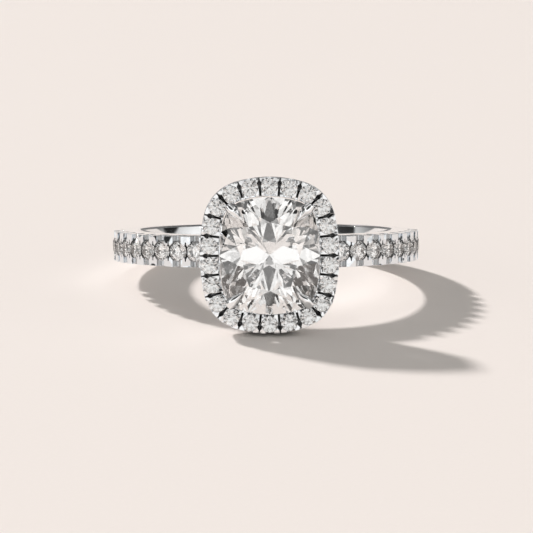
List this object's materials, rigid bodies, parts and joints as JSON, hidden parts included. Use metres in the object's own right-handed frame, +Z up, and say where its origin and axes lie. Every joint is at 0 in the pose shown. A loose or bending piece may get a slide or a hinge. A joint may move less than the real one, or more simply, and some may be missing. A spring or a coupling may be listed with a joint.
{
  "type": "halo ring",
  "caption": "Finger ring with a cushion-cut centre stone in four claws, a halo of small round stones round it and more set along both shoulders of the band.",
  "frame": {"origin": "centre of the finger hole, on its axis and midway along the band's width", "axes": "the ring lies on its side: +Z is up, +X is to the right seen from the centre stone's front, and the centre stone faces -Y, tipped upwards by the tilt at rest"},
  "size_m": [0.021, 0.025, 0.0097],
  "materials": {
    "white_gold": "polished rhodium-plated white gold",
    "centre_stone": "colourless cut stone, polished facets",
    "small_stone": "colourless cut stone, polished facets"
  },
  "bodies": {
    "root": {"mounting": "white_gold", "centre_stone": "centre_stone", "halo_stone_1": "small_stone", "halo_stone_2": "small_stone", "halo_stone_3": "small_stone", "halo_stone_4": "small_stone", "halo_stone_5": "small_stone", "halo_stone_6": "small_stone", "halo_stone_7": "small_stone", "halo_stone_8": "small_stone", "halo_stone_9": "small_stone", "halo_stone_10": "small_stone", "halo_stone_11": "small_stone", "halo_stone_12": "small_stone", "halo_stone_13": "small_stone", "halo_stone_14": "small_stone", "halo_stone_15": "small_stone", "halo_stone_16": "small_stone", "halo_stone_17": "small_stone", "halo_stone_18": "small_stone", "halo_stone_19": "small_stone", "halo_stone_20": "small_stone", "halo_stone_21": "small_stone", "halo_stone_22": "small_stone", "band_stone_left_1": "small_stone", "band_stone_left_2": "small_stone", "band_stone_left_3": "small_stone", "band_stone_left_4": "small_stone", "band_stone_left_5": "small_stone", "band_stone_left_6": "small_stone", "band_stone_left_7": "small_stone", "band_stone_left_8": "small_stone", "band_stone_left_9": "small_stone", "band_stone_right_1": "small_stone", "band_stone_right_2": "small_stone", "band_stone_right_3": "small_stone", "band_stone_right_4": "small_stone", "band_stone_right_5": "small_stone", "band_stone_right_6": "small_stone", "band_stone_right_7": "small_stone", "band_stone_right_8": "small_stone", "band_stone_right_9": "small_stone"}
  },
  "joints": []
}
